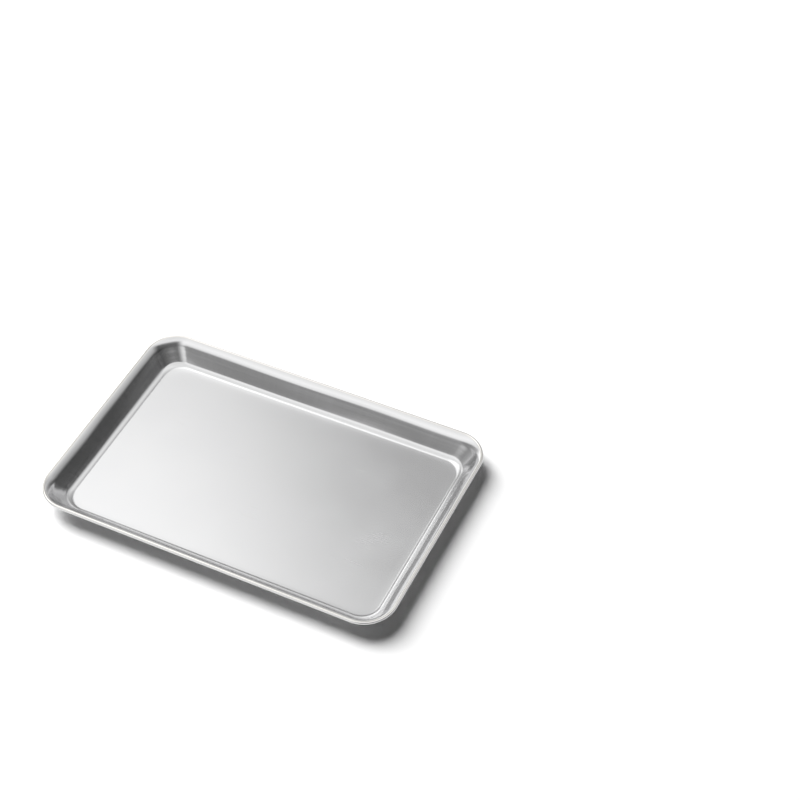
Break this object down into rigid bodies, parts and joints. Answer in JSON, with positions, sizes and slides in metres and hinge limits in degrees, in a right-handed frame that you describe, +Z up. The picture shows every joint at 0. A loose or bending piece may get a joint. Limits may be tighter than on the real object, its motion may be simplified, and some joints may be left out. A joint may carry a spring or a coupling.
{
  "type": "instrument tray",
  "caption": "Shallow rectangular stainless instrument tray with rounded corners, sloping walls, a flat satin floor and a curled rim stiffened by a wire.",
  "frame": {"origin": "centre of the flat underside, on the surface that the tray rests on", "axes": "+X along the long side, +Y across it, +Z up"},
  "size_m": [0.3, 0.2, 0.0195],
  "materials": {
    "pan_sheet": "satin stainless sheet, brighter on the drawn walls and the rim",
    "rim_wire": "drawn stainless wire"
  },
  "bodies": {
    "root": {"pan": "pan_sheet", "rim_wire": "rim_wire"}
  },
  "joints": []
}
